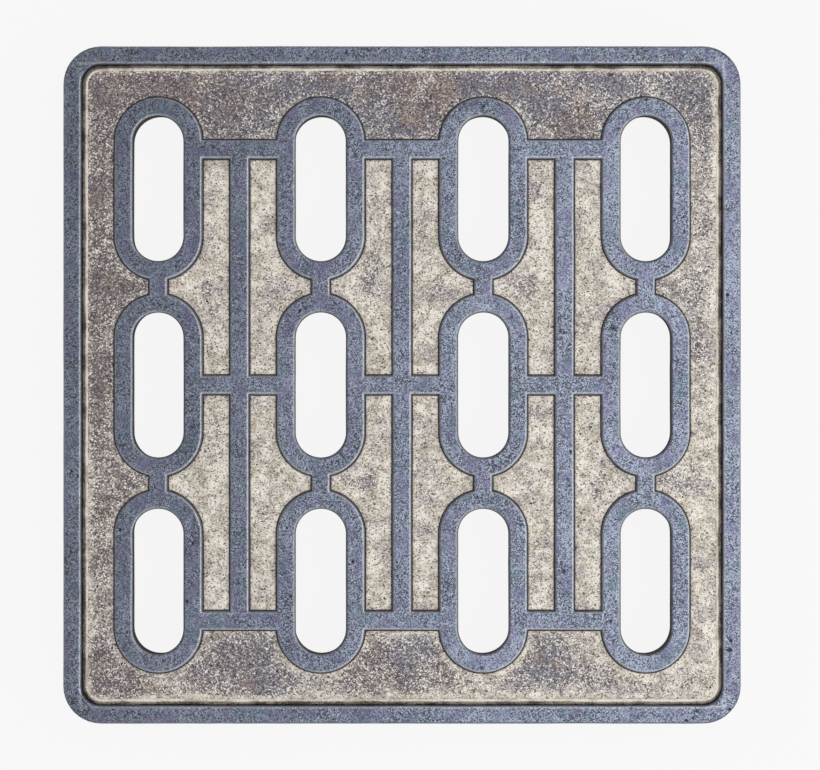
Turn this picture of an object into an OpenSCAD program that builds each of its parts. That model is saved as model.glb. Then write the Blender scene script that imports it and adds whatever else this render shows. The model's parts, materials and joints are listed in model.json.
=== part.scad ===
// Square cast-iron slotted cover lying loose in its cast-iron frame.
// Millimetres, +Z up. The origin is the middle of the frame on its bedding plane.
// The road surface is the plane z = frame_h: the frame's band and the cover's raised tread
// both end there, and the cover's field lies tread_h below it.

/* [Frame] */
// Width of the frame over its flat sides
frame_w = 500; // [496:1:540]
// Height of the frame from its bedding plane to the road surface
frame_h = 75; // [68:1:100]
// Radius of the frame's outer corners
frame_corner_r = 28; // [20:1:40]
// Width of the band that the frame shows at the road surface
band_w = 13; // [10:1:16]
// Depth from the road surface down to the seat ledge
seat_depth = 40; // [38:1:46]
// Width of the seat ledge, inward from the wall
ledge_w = 23; // [20:1:24]
// Thickness of the seat ledge
ledge_t = 12; // [8:1:14]
// Radius of the clear opening's corners
opening_corner_r = 40; // [34:1:46]
// Depth of the keying channel round the outside of the wall
channel_d = 5; // [3:1:6]
// Distance between the webs that cross the keying channel
web_pitch = 105; // [90:5:120]
// Thickness of the channel's webs and of the gussets under the ledge
gusset_t = 9; // [6:1:12]

/* [Anchor holes] */
// Distance between neighbouring anchor holes, both ways
anchor_span = 422; // [420:1:424]
// Diameter of the anchor holes, for M12
anchor_hole_d = 13; // [11:0.5:14]
// Diameter of the boss round each anchor hole
anchor_boss_d = 26; // [24:1:28]

/* [Seat pads] */
// Length of a seat pad over its round ends
pad_l = 46; // [36:1:60]
// Width of a seat pad
pad_w = 12; // [9:1:13]
// Thickness of a seat pad
pad_t = 5; // [4:0.5:6]
// Depth of the pocket that holds a seat pad
pad_pocket = 3; // [2:0.5:3.5]
// Distance of a pad's middle from the middle of its side
pad_offset = 150; // [145:1:160]
// Room between a pad and the side of its pocket
pad_play = 0.2; // [0.1:0.05:0.4]

/* [Cover] */
// Joint between the cover and the frame, all round
joint_gap = 4; // [2:0.5:5]
// Height of the raised tread above the field
tread_h = 4; // [3:0.5:6]
// Thickness of the plate under the field
plate_t = 12; // [10:1:14]
// Thickness of the skirt at its foot, where it stands on the seat pads
skirt_t = 10; // [8:1:12]
// Draft of the cover's outer edge and of the inside of its skirt, so that it lifts out freely
edge_draft = 3; // [1:0.5:4]

/* [Slots] */
// Width of a slot at the road surface
slot_w = 37; // [32:0.5:38]
// Length of a slot over its round ends
slot_l = 107; // [100:1:110]
// Distance between the columns of slots
column_pitch = 120; // [118:0.5:122]
// Distance between the rows of slots
row_pitch = 145; // [143:0.5:147]
// Draft of the slot walls, so that what falls in drops through
slot_draft = 4; // [2:0.5:5]
// Thickness of the collar round each slot on the underside
collar_t = 8; // [6:0.5:9]
// Depth of the collar below the plate
collar_h = 6; // [4:1:8]

/* [Tread] */
// Width of the ring of tread round each slot
ring_w = 13.5; // [12:0.5:14]
// Width of the straight bars between the rings
bar_w = 13; // [10:0.5:14]
// Width of the short neck that joins a ring to the next one in its column
neck_w = 12.5; // [10:0.5:14]
// Distance of the outer cross bars from the middle of the cover
cross_bar_y = 174; // [170:0.5:176]
// Draft of the tread's walls
tread_draft = 12; // [5:1:20]

/* [Ribs under the cover] */
// Thickness of a rib where it meets the plate
rib_root_t = 12; // [10:0.5:14]
// Thickness of a rib at its free edge
rib_edge_t = 8; // [6:0.5:9]
// How far the long ribs belly down at mid span, below their ends
long_rib_belly = 20; // [10:1:24]
// How far the cross ribs belly down at mid span, below their ends
cross_rib_belly = 10; // [6:1:14]

/* [Hidden] */

$fn = 96;
over = 1;                       // how far a cutter runs past the face that it cuts
bite = 1;                       // how far one form sinks into the one that carries it

iron = [0.46, 0.49, 0.57];
rubber = [0.13, 0.13, 0.14];

// Frame
wall_in_w = frame_w - 2 * band_w;
wall_in_r = frame_corner_r - band_w;
opening_w = wall_in_w - 2 * ledge_w;
seat_z = frame_h - seat_depth;
ledge_z = seat_z - ledge_t;
channel_z = [8, frame_h - 18];  // lower and upper face of the keying channel
channel_webs = 4;
gusset_toe = 6;                 // height and depth of a gusset's blunt ends
gusset_reach = ledge_w - 2;
anchor_at = anchor_span / 2;

// Seat pads: [side, along], where side is 0 front, 1 right, 2 back, 3 left
pad_places = [for (side = [0:3], along = [-1, 1]) [side, along]];
first_pad = 2;                  // place of the first pad in NODES
pad_z = seat_z - pad_pocket;

// Cover
cover_w = wall_in_w - 2 * joint_gap;
cover_r = wall_in_r - joint_gap;
field_z = frame_h - tread_h;
plate_z = field_z - plate_t;
skirt_z = pad_z + pad_t;
skirt_foot_w = cover_w - 2 * (field_z - skirt_z) * tan(edge_draft);
skirt_in_w = skirt_foot_w - 2 * skirt_t;
skirt_in_r = 8;
pad_in = (skirt_foot_w - skirt_t) / 2;

// Slots and tread
columns = [-1.5, -0.5, 0.5, 1.5] * column_pitch;
rows = [-1, 0, 1] * row_pitch;
neck_rows = [-0.5, 0.5] * row_pitch;
long_bars = [-1, 0, 1] * column_pitch;
cross_bars = [-1, 0, 1] * cross_bar_y;
neck_l = row_pitch - slot_l - ring_w;
long_bar_l = 2 * cross_bar_y + bar_w;
collar_z = plate_z - collar_h;

// Ribs
rib_end_z = skirt_z + 4;
rib_span = skirt_in_w + skirt_t;
arc_fn = 720;                   // a belly is a short piece of a large circle

// A square with round corners, round the origin.
module round_square(w, r) {
    square([w, w - 2 * r], center = true);
    square([w - 2 * r, w], center = true);
    for (x = [-1, 1], y = [-1, 1])
        translate([x, y] * (w / 2 - r)) circle(r);
}

// A slot outline along Y: two half circles joined by straight sides.
module slot_outline(w, l) {
    square([w, l - w], center = true);
    for (end = [-1, 1])
        translate([0, end * (l - w) / 2]) circle(w / 2);
}

// A wall of even thickness and height that runs round the middle.
module square_ring(z, out_w, out_r, in_w, in_r) {
    translate([0, 0, z[0]]) linear_extrude(z[1] - z[0]) difference() {
        round_square(out_w, out_r);
        round_square(in_w, in_r);
    }
}

// A straight bar along Y with drafted sides: low_w wide at z[0] and high_w wide at z[1].
module drafted_bar(low_w, high_w, l, z) {
    rotate([90, 0, 0]) linear_extrude(l, center = true) polygon([
        [-low_w / 2, z[0]], [low_w / 2, z[0]], [high_w / 2, z[1]], [-high_w / 2, z[1]]
    ]);
}

// A slot-shaped body along Y, w by l at the road surface and wider below by its draft.
// Its sides are planes and its ends are cones of the same slope, so they run on smoothly.
module drafted_slot(w, l, draft, z) {
    low_w = w + 2 * (frame_h - z[0]) * tan(draft);
    high_w = w + 2 * (frame_h - z[1]) * tan(draft);
    drafted_bar(low_w, high_w, l - w, z);
    for (end = [-1, 1])
        translate([0, end * (l - w) / 2, z[0]]) cylinder(d1 = low_w, d2 = high_w, h = z[1] - z[0]);
}

// A block with round corners whose four sides lean in or out: low_w wide at z[0], high_w at z[1].
module drafted_block(low_w, high_w, high_r, z) {
    flat = high_w - 2 * high_r;
    for (turn = [0, 90])
        rotate([0, 0, turn]) drafted_bar(low_w, high_w, flat, z);
    for (x = [-1, 1], y = [-1, 1])
        translate([x * flat / 2, y * flat / 2, z[0]])
            cylinder(r1 = (low_w - flat) / 2, r2 = high_r, h = z[1] - z[0]);
}

// Repeats its children on all four sides, turned from the front.
module on_each_side() {
    for (side = [0:3])
        rotate([0, 0, 90 * side]) children();
}

// The webs left standing in the keying channel, as posts through the wall at the front.
module web_posts() {
    for (n = [0:channel_webs - 1])
        translate([(n - (channel_webs - 1) / 2) * web_pitch - gusset_t / 2, -frame_w / 2 - 2 * over, 0])
            cube([gusset_t, band_w, frame_h]);
}

// What is cut away for the channel that keys the frame into its mortar bed.
module keying_channel() {
    difference() {
        square_ring(channel_z, frame_w + 2 * over, frame_corner_r + over,
            frame_w - 2 * channel_d, frame_corner_r - channel_d);
        on_each_side() web_posts();
    }
}

// One gusset at the front, from the wall to the inner edge of the seat ledge.
module gusset() {
    wall_y = -wall_in_w / 2;
    translate([-gusset_t / 2, 0, 0]) rotate([90, 0, 90]) linear_extrude(gusset_t) polygon([
        [wall_y - bite, 0],
        [wall_y + gusset_toe, 0],
        [wall_y + gusset_reach, ledge_z - gusset_toe],
        [wall_y + gusset_reach, ledge_z + bite],
        [wall_y - bite, ledge_z + bite]
    ]);
}

// The boss that carries an anchor hole down to the bedding plane, tied to its corner by a web.
module anchor_boss() {
    translate([anchor_at, anchor_at, 0]) {
        cylinder(d = anchor_boss_d, h = seat_z);
        rotate([0, 0, 45]) translate([0, -gusset_t / 2, 0])
            cube([wall_in_w / 2 - anchor_at + band_w / 2, gusset_t, seat_z - bite]);
    }
}

module frame() {
    color(iron) difference() {
        union() {
            square_ring([0, frame_h], frame_w, frame_corner_r, wall_in_w, wall_in_r);
            square_ring([ledge_z, seat_z], wall_in_w + 2 * bite, wall_in_r + bite,
                opening_w, opening_corner_r);
            on_each_side() {
                for (x = [-1, 0, 1] * web_pitch)
                    translate([x, 0, 0]) gusset();
                anchor_boss();
            }
        }
        keying_channel();
        on_each_side() translate([anchor_at, anchor_at, -over])
            cylinder(d = anchor_hole_d, h = seat_z + 2 * over);
        for (place = pad_places)
            at_pad(place) linear_extrude(pad_pocket + over) slot_outline(pad_w, pad_l);
    }
}

// Puts a slot-shaped child, drawn along Y from z = 0, into a pad's pocket.
module at_pad(place) {
    rotate([0, 0, 90 * place[0]])
        translate([place[1] * pad_offset, -pad_in, pad_z]) rotate([0, 0, 90]) children();
}

module seat_pad(place) {
    color(rubber) at_pad(place) linear_extrude(pad_t)
        slot_outline(pad_w - 2 * pad_play, pad_l - 2 * pad_play);
}

// The raised tread: a ring round each slot, necks between the rings, and bars both ways.
module tread() {
    z = [field_z - bite, frame_h];
    spread = 2 * (z[1] - z[0]) * tan(tread_draft);
    for (x = columns) {
        for (y = rows)
            translate([x, y, 0]) drafted_slot(slot_w + 2 * ring_w, slot_l + 2 * ring_w, tread_draft, z);
        for (y = neck_rows)
            translate([x, y, 0]) drafted_bar(neck_w + spread, neck_w, neck_l, z);
    }
    for (x = long_bars)
        translate([x, 0, 0]) drafted_bar(bar_w + spread, bar_w, long_bar_l, z);
    for (y = cross_bars)
        translate([0, y, 0]) rotate([0, 0, 90])
            drafted_bar(bar_w + spread, bar_w, columns[3] - columns[0], z);
}

// A rib along Y under the plate: a drafted section whose free edge is an arc, lowest at mid span.
// The arc passes through the rib's two ends and through the lowest point of its belly.
module belly_rib(belly) {
    half = rib_span / 2;
    arc_r = (half * half + belly * belly) / (2 * belly);
    intersection() {
        drafted_bar(rib_edge_t, rib_root_t, rib_span, [rib_end_z - belly, plate_z + bite]);
        rotate([90, 0, 90]) linear_extrude(2 * rib_root_t, center = true)
            translate([0, rib_end_z - belly + arc_r]) circle(arc_r, $fn = arc_fn);
    }
}

// The plate and its skirt: a drafted block, hollowed from below.
module plate_and_skirt() {
    in_draft = 2 * (plate_z - skirt_z + over) * tan(edge_draft);
    difference() {
        drafted_block(skirt_foot_w, cover_w, cover_r, [skirt_z, field_z]);
        drafted_block(skirt_in_w, skirt_in_w - in_draft, skirt_in_r, [skirt_z - over, plate_z]);
    }
}

module cover() {
    color(iron) difference() {
        union() {
            plate_and_skirt();
            tread();
            for (x = long_bars)
                translate([x, 0, 0]) belly_rib(long_rib_belly);
            for (y = neck_rows)
                translate([0, y, 0]) rotate([0, 0, 90]) belly_rib(cross_rib_belly);
            for (x = columns, y = rows)
                translate([x, y, collar_z]) linear_extrude(collar_h + bite)
                    slot_outline(slot_w + 2 * collar_t, slot_l + 2 * collar_t);
        }
        for (x = columns, y = rows)
            translate([x, y, 0]) drafted_slot(slot_w, slot_l, slot_draft, [collar_z - over, frame_h + over]);
    }
}

frame();
cover();
for (n = [0:len(pad_places) - 1])
    seat_pad(pad_places[n]);
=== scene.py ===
"""Square cast-iron slotted cover in its frame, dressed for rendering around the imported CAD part.

All lengths are metres and all places are in the part's own frame: +Z up, the origin in the middle
of the frame on its bedding plane. "Growth" is the distance in plan from the edge of the raised
tread, and "from_slot" that from the edge of a slot. Every outline is a function of such a distance.
"""

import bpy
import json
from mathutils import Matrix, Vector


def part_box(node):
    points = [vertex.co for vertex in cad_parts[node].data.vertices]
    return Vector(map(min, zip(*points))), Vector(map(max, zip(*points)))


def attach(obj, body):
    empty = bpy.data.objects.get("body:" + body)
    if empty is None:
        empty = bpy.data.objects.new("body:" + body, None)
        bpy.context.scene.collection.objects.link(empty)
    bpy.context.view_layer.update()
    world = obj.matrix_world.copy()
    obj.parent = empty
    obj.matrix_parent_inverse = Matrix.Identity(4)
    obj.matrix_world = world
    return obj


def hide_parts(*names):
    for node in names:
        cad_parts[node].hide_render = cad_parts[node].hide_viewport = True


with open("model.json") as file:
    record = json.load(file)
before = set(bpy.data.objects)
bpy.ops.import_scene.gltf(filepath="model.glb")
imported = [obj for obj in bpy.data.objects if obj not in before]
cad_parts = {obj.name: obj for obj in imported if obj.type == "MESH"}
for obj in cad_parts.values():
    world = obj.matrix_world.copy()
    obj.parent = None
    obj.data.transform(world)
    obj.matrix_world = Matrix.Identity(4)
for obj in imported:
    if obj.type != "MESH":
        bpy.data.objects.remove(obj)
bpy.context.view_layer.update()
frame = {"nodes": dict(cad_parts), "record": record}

import json
import math

import bpy
import numpy as np
from bpy.props import FloatProperty, FloatVectorProperty, IntProperty, PointerProperty
from mathutils.geometry import delaunay_2d_cdt

bl_info = {
    "name": "Slotted cast-iron cover",
    "version": (1, 0, 0),
    "blender": (4, 5, 0),
    "location": "View3D > Sidebar > Cover",
    "description": "Dresses a square slotted cover and its frame in worn, dusty cast iron",
    "category": "Add Mesh",
}

MM = 0.001
COVER_CORNER = 0.011
SLOT_END = 0.022        # radius that sets how many points every row has round the end of a slot
NECK_SIDE = 0.012       # length that sets how many points every row has along a neck
FLOOR_HALF, FLOOR_Z = 6.0, -0.0002
KEY_PLACE, KEY_TINT = (0.60, -0.12, 1.3), (0.96, 0.99, 1.0)
FILL_PLACE, FILL_TINT = (-1.2, -0.5, 1.1), (1.0, 0.98, 0.96)
FILL_POWER, FILL_SIZE = 0.12, 1.6       # as shares of the key light's
SKY_TINT = (0.98, 0.96, 0.98)
SEAT_PADS = sorted(name for name in frame["nodes"] if name.startswith("seat_pad"))


# ---------------------------------------------------------------- places taken from the frame

def opening_middles(prefix):
    """Plan positions of the middles of the record's openings whose names start with prefix."""
    boxes = [o["box_m"] for o in frame["record"]["physics"]["openings"] if o["name"].startswith(prefix)]
    return np.array(boxes).mean(axis=1)[:, :2]


SLOT_MIDDLES = opening_middles("slot_")
COLUMNS = np.unique(SLOT_MIDDLES[:, 0].round(6))
ROWS = np.unique(SLOT_MIDDLES[:, 1].round(6))
BARS = (COLUMNS[:-1] + COLUMNS[1:]) / 2
NECK_ROWS = (ROWS[:-1] + ROWS[1:]) / 2
COLUMN_PITCH = COLUMNS[1] - COLUMNS[0]
ROW_PITCH = ROWS[1] - ROWS[0]
FRAME_HALF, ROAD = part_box("frame")[1].x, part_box("frame")[1].z
COVER_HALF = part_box("cover")[1].x
SKIRT_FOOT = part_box(SEAT_PADS[0])[1].z


# ---------------------------------------------------------------- settings

def length(name, default, description):
    """A length that the sidebar shows in the scene's units."""
    return FloatProperty(
        name=name, description=description, default=default, min=0, unit="LENGTH", precision=4)


def slope(name, degrees, description):
    """An angle, given in degrees and kept in radians."""
    return FloatProperty(name=name, description=description, default=math.radians(degrees), unit="ROTATION")


def share(name, default, description):
    """A number from 0 to 1."""
    return FloatProperty(name=name, description=description, default=default, min=0, max=1, subtype="FACTOR")


def tint(red, green, blue):
    """A colour written as it looks on a screen, 0 to 255, as linear light."""
    seen = np.array([red, green, blue]) / 255
    return tuple(np.where(seen <= 0.04045, seen / 12.92, ((seen + 0.055) / 1.055) ** 2.4))


def paint(name, seen, description):
    """A colour that the sidebar shows as a swatch."""
    return FloatVectorProperty(
        name=name, description=description, default=tint(*seen), subtype="COLOR", min=0, max=1, size=3)


class CoverSizes(bpy.types.PropertyGroup):
    """Sizes of the cover's casting."""
    slot_w: length("Slot width", 0.037, "Width of a slot at the road surface")
    slot_l: length("Slot length", 0.107, "Length of a slot over its round ends")
    ring_w: length("Ring width", 0.0135, "Width of the ring of tread round each slot")
    bar_w: length("Bar width", 0.013, "Width of the straight bars of tread")
    neck_w: length("Neck width", 0.0125, "Width of the neck between two rings of a column")
    cross_bar_y: length("Cross bar place", 0.174, "Distance of the outer cross bars from the middle")
    tread_h: length("Tread height", 0.004, "Height of the tread above the field")
    tread_draft: slope("Tread draft", 12, "Lean of the tread's walls")
    edge_round: length("Worn edge", 0.0009, "Radius of the worn edges of the tread and the slots")
    plate_t: length("Plate thickness", 0.012, "Thickness of the plate under the field")
    corner_r: length("Corner radius", COVER_CORNER, "Radius of the cover's corners at the road surface")
    skirt_t: length("Skirt thickness", 0.010, "Thickness of the skirt at its foot")
    edge_draft: slope("Edge draft", 3, "Lean of the cover's outer edge and of its skirt")
    slot_draft: slope("Slot draft", 4, "Lean of the slot walls, wider below")
    collar_t: length("Collar thickness", 0.008, "Thickness of the collar under each slot")
    collar_h: length("Collar depth", 0.006, "Depth of the collar below the plate")
    rib_root: length("Rib root", 0.012, "Thickness of a rib where it meets the plate")
    rib_edge: length("Rib edge", 0.008, "Thickness of a rib at its free edge")
    rib_fillet: length("Rib fillet", 0.0035, "Radius of the fillet between a rib and the plate")
    rib_end_h: length("Rib end height", 0.004, "Height of a rib's ends above the foot of the skirt")
    long_belly: length("Long rib belly", 0.020, "How far the long ribs belly down at mid span")
    cross_belly: length("Cross rib belly", 0.010, "How far the cross ribs belly down at mid span")
    step: length("Mesh step", 0.0022, "Distance between neighbouring points of the tread and field")


class FrameSizes(bpy.types.PropertyGroup):
    """Sizes of the frame's casting."""
    band_w: length("Band width", 0.013, "Width of the band that the frame shows at the road surface")
    corner_r: length("Corner radius", 0.028, "Radius of the frame's outer corners")
    seat_depth: length("Seat depth", 0.040, "Depth of the seat ledge below the road surface")
    ledge_w: length("Ledge width", 0.023, "Width of the seat ledge")
    ledge_t: length("Ledge thickness", 0.012, "Thickness of the seat ledge")
    opening_r: length("Opening radius", 0.040, "Radius of the clear opening's corners")
    channel_d: length("Channel depth", 0.005, "Depth of the keying channel round the outside")
    channel_low: length("Channel foot", 0.008, "Height of the channel's lower lip")
    channel_lip: length("Channel lip", 0.018, "Depth of the channel's upper lip below the road surface")
    web_pitch: length("Web pitch", 0.105, "Distance between the webs across the channel")
    web_t: length("Web thickness", 0.009, "Thickness of the webs and of the gussets")
    anchor_at: length("Anchor place", 0.211, "Distance of the anchor holes from the middle, both ways")
    anchor_d: length("Anchor hole", 0.013, "Diameter of the anchor holes")
    boss_d: length("Anchor boss", 0.026, "Diameter of the boss round an anchor hole")
    pocket_h: length("Pad pocket", 0.003, "Depth of the pockets that hold the seat pads")
    pocket_play: length("Pad play", 0.0002, "Room between a pad and the side of its pocket")
    edge_round: length("Cast edge", 0.0014, "Radius of the frame's edges")


class DirtSizes(bpy.types.PropertyGroup):
    """Sizes of the sand and soil on the cover."""
    cake_t: length("Cake thickness", 0.0007, "Thickness of the sand caked on the field")
    groove_w: length("Groove", 0.0004, "Width of the bare groove at the foot of the tread")
    crust_reach: length("Joint crust", 0.0035, "How far the crust in the joint stands off the cover's edge")
    grains: IntProperty(name="Grains", description="Number of loose grains on the field", default=3600, min=0)
    grain_size: length("Grain size", 0.00075, "Usual width of a grain")


class Finishes(bpy.types.PropertyGroup):
    """Colours that the finishes are mixed from."""
    # Also the colour of the painted highlight on the cover's edges that face the key light.
    iron_worn_and_highlight: paint("Worn iron", (200, 204, 210), "Iron where feet and wheels polish it")
    iron_light: paint("Light iron", (142, 149, 166), "Iron where its grey skin is thin")
    iron_dark: paint("Dull iron", (62, 64, 74), "Iron with its whole grey skin")
    iron_violet: paint("Violet iron", (106, 101, 130), "Violet cast of the heat skin")
    iron_green: paint("Green iron", (84, 106, 115), "Green cast of the heat skin")
    rust: paint("Rust", (146, 124, 108), "Thin rust")
    pit: paint("Pit", (38, 37, 42), "Bottom of a casting pit")
    field_skin: paint("Field skin", (113, 100, 102), "Bare iron of the recessed field")
    field_blue: paint("Blue field skin", (112, 108, 119), "Bare iron of the field where it is less rusty")
    quartz: paint("Quartz", (250, 247, 240), "Brightest grains of the sand")
    sand_light: paint("Dry sand", (239, 230, 216), "Pale stretches of the caked sand")
    sand_dark: paint("Damp sand", (188, 177, 161), "Darker stretches of the caked sand")
    sand_olive: paint("Olive sand", (176, 172, 148), "Sand with a green film")
    sand_mauve: paint("Mauve sand", (166, 154, 156), "Thin sand with the iron showing through")
    # Also the colour of the painted shade in the groove at the tread's foot, on the slot walls and in the
    # deep part of the joint crust.
    soil: paint("Soil", (42, 37, 35), "Dark soil in the joint and the grooves")
    rubber: paint("Rubber", (38, 38, 41), "Seat pads")
    floor: paint("Floor", (244, 244, 244), "Floor and backdrop")


class StageSettings(bpy.types.PropertyGroup):
    """Camera, lights and floor."""
    camera_h: length("Camera height", 1.65, "Height of the camera above the road surface")
    camera_x: length("Camera offset", 0.0059, "Sideways offset of the camera from the middle")
    picture_w: length("Picture width", 0.6048, "Width of the road surface that the picture takes in")
    key_power: FloatProperty(
        name="Key light", description="Power of the soft key light", default=14, unit="POWER")
    key_size: length("Key size", 1.5, "Width of the soft key light")
    sky: FloatProperty(
        name="Sky", description="Strength of the even light from all round", default=0.50, min=0)
    backdrop: share("Backdrop", 0.945, "Brightness of the background where the camera sees it")
    shadow: share("Shadow", 0.05, "Share of the floor's brightness that comes from light that falls on it")


# ---------------------------------------------------------------- outlines

def count(distance, step):
    """Number of steps that a line or an arc of this length is cut into."""
    return max(1, round(float(distance) / step))


def run(start, end, n):
    """n points of a straight line from start up to, and not including, end."""
    t = (np.arange(n) / n)[:, None]
    return np.array(start) * (1 - t) + np.array(end) * t


def arc(middle, radius, start, end, n):
    """n points of a circle from angle start up to, and not including, angle end."""
    turn = start + (end - start) * np.arange(n) / n
    return np.array(middle) + radius * np.column_stack([np.cos(turn), np.sin(turn)])


def round_square(half, radius, sides, corners=10):
    """Outline of a square with round corners: four straight sides, cut into as many steps as sides
    says, and a quarter circle at each corner, cut into as many as corners says."""
    flat = half - radius
    quarter = np.concatenate([
        run((half, -flat), (half, flat), sides),
        arc((flat, flat), radius, 0, math.pi / 2, corners),
    ])
    turns = [(1, 0, 0, 1), (0, 1, -1, 0), (-1, 0, 0, -1), (0, -1, 1, 0)]
    return np.concatenate([quarter @ np.array(t).reshape(2, 2) for t in turns])


def slot_outline(half_w, straight, step):
    """Outline of a slot along Y: two straight sides and two half circles of radius half_w."""
    sides = count(2 * straight, step)
    ends = count(math.pi * SLOT_END, step)
    half = np.concatenate([
        run((half_w, -straight), (half_w, straight), sides),
        arc((0, straight), half_w, 0, math.pi, ends),
    ])
    return np.concatenate([half, -half])


class Tread:
    """The plan of the raised tread: rings round the slots, necks between them, and bars both ways."""

    def __init__(self, s):
        self.straight = (s.slot_l - s.slot_w) / 2
        self.slot_r = s.slot_w / 2
        self.ring_r = self.slot_r + s.ring_w
        self.bar = s.bar_w / 2
        self.neck = s.neck_w / 2
        self.cross = s.cross_bar_y
        self.step = s.step
        self.bend = count(self.ring_r * self.neck_corner(0)[1], self.step)

    def growth(self, plan):
        """Distance from the tread's edge: the least distance to any ring, neck or bar, negative on the tread.

        A ring's distance is that to the straight line between its two end circles' middles, less
        the ring's radius; a bar's or a neck's is that to its centre line, less half its width."""
        x, y = plan[..., 0], plan[..., 1]
        away_x = np.abs(x[..., None] - COLUMNS)
        away_y = np.abs(y[..., None] - ROWS)
        along = np.maximum(away_y - self.straight, 0)
        rings = np.hypot(away_x[..., :, None], along[..., None, :]).min(axis=(-2, -1)) - self.ring_r
        long_bars = np.abs(x[..., None] - BARS).min(axis=-1) - self.bar
        long_bars = np.where(np.abs(y) <= self.cross, long_bars, 1)
        cross_bars = np.abs(y[..., None] - np.array([-self.cross, 0, self.cross])).min(axis=-1) - self.bar
        cross_bars = np.where(np.abs(x) <= COLUMNS[-1], cross_bars, 1)
        necks = away_x.min(axis=-1) - self.neck
        near_neck = np.abs(y[..., None] - NECK_ROWS).min(axis=-1) <= ROW_PITCH / 2 - self.straight
        necks = np.where(near_neck, necks, 1)
        return np.minimum.reduce([rings, long_bars, cross_bars, necks])

    def from_slot(self, plan):
        """Distance outwards from the edge of the nearest slot, negative in the slot."""
        away_x = np.abs(plan[..., 0, None] - COLUMNS).min(axis=-1)
        away_y = np.abs(plan[..., 1, None] - ROWS).min(axis=-1)
        return np.hypot(away_x, np.maximum(away_y - self.straight, 0)) - self.slot_r

    def neck_corner(self, growth):
        """Where a neck meets a ring: the height above the ring's end middle, and the angle there."""
        rise = math.sqrt((self.ring_r + growth) ** 2 - (self.neck + growth) ** 2)
        return rise, math.acos((self.neck + growth) / (self.ring_r + growth))

    def pocket(self, growth):
        """Outline of the pocket between a column, the bar beside it and two cross bars.

        u runs from the column's middle to the bar, v from the middle cross bar to the outer one:
        along the cross bar, up the long bar, back along the outer cross bar, then down the column,
        round the end of one ring, past the neck and round the end of the next ring."""
        r, b, k = self.ring_r + growth, self.bar + growth, self.neck + growth
        rise, turn = self.neck_corner(growth)
        side, top, low, high = COLUMN_PITCH / 2 - b, self.cross - b, self.straight, ROW_PITCH - self.straight
        across = count(COLUMN_PITCH / 2 - self.ring_r - self.bar, self.step)
        return np.concatenate([
            run((r, b), (side, b), across),
            run((side, b), (side, top), count(self.cross, self.step)),
            run((side, top), (r, top), across),
            run((r, top), (r, high), count(self.cross - high, self.step)),
            arc((0, high), r, 0, -turn, self.bend),
            run((k, high - rise), (k, low + rise), count(ROW_PITCH / 2 - self.ring_r - low / 2, self.step)),
            arc((0, low), r, turn, 0, self.bend),
            run((r, low), (r, b), count(low, self.step)),
        ])

    def pockets(self, growth):
        """Outlines of all the pockets, as mirror images of one, each running anticlockwise."""
        one = self.pocket(growth)
        found = []
        for x in COLUMNS:
            for way in (-1, 1):
                if np.abs(x + way * COLUMN_PITCH / 2) > COLUMNS[-1]:
                    continue
                for up in (-1, 1):
                    outline = one * (way, up) + (x, 0)
                    found.append(outline if way * up > 0 else outline[::-1])
        return found

    def outside(self, growth):
        """The tread's outer outline: up the right-hand rings and necks, then back over the ring ends and
        the outer cross bar; the other half is the same turned half round."""
        r, b, k = self.ring_r + growth, self.bar + growth, self.neck + growth
        rise, turn = self.neck_corner(growth)
        end_y = ROWS[-1] + self.straight
        dip = math.asin((self.cross + b - end_y) / r)
        x = COLUMNS[-1]
        parts = []
        for n, y in enumerate(ROWS):
            low, high = y - self.straight, y + self.straight
            parts.append(run((x + r, low), (x + r, high), count(2 * self.straight, self.step)))
            if n + 1 < len(ROWS):
                beyond = ROWS[n + 1] - self.straight
                parts.append(arc((x, high), r, 0, turn, self.bend))
                parts.append(run((x + k, high + rise), (x + k, beyond - rise), count(NECK_SIDE, self.step)))
                parts.append(arc((x, beyond), r, -turn, 0, self.bend))
        for n, x in enumerate(COLUMNS[::-1]):
            start = 0 if n == 0 else dip
            last = n + 1 == len(COLUMNS)
            end = math.pi if last else math.pi - dip
            bends = count(self.ring_r * math.pi, self.step)
            parts.append(arc((x, end_y), r, start, end, bends))
            if not last:
                reach = r * math.cos(dip)
                flat = (x - reach, self.cross + b), (x - COLUMN_PITCH + reach, self.cross + b)
                parts.append(run(*flat, count(COLUMN_PITCH - 2 * self.ring_r, self.step)))
        half = np.concatenate(parts)
        return np.concatenate([half, -half])

    def slots(self, growth):
        """Outlines of all the slots."""
        one = slot_outline(self.slot_r + growth, self.straight, self.step)
        return [one + (x, y) for x in COLUMNS for y in ROWS]


def inside_square(plan, half, middle):
    """Distance inwards from a square with round corners whose corner arcs have their middles at middle."""
    beyond = np.abs(plan) - middle
    corner = np.hypot(*np.moveaxis(np.maximum(beyond, 0), -1, 0))
    return half - middle - np.where(beyond.max(axis=-1) > 0, corner, beyond.max(axis=-1))


def rounded(corners, steps=3):
    """A path through corners given as (across, height, radius), open at both ends.

    Each corner that has a radius becomes an arc that touches the sides before and after it."""
    path = [np.array(corners[0][:2])]
    for before, (u, z, radius), after in zip(corners, corners[1:], corners[2:]):
        at = np.array((u, z))
        if not radius:
            path.append(at)
            continue
        back = (np.array(before[:2]) - at) / math.dist(before[:2], at)
        on = (np.array(after[:2]) - at) / math.dist(after[:2], at)
        half = math.acos(float(np.clip(back @ on, -1, 1))) / 2
        middle = at + (back + on) / np.linalg.norm(back + on) * radius / math.sin(half)
        first, last = at + back * radius / math.tan(half) - middle, at + on * radius / math.tan(half) - middle
        start = math.atan2(first[1], first[0])
        turn = (math.atan2(last[1], last[0]) - start + math.pi) % (2 * math.pi) - math.pi
        for t in np.arange(steps + 1) / steps:
            path.append(middle + radius * np.array([math.cos(start + turn * t), math.sin(start + turn * t)]))
    path.append(np.array(corners[-1][:2]))
    return np.array(path)


# ---------------------------------------------------------------- meshes

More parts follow.
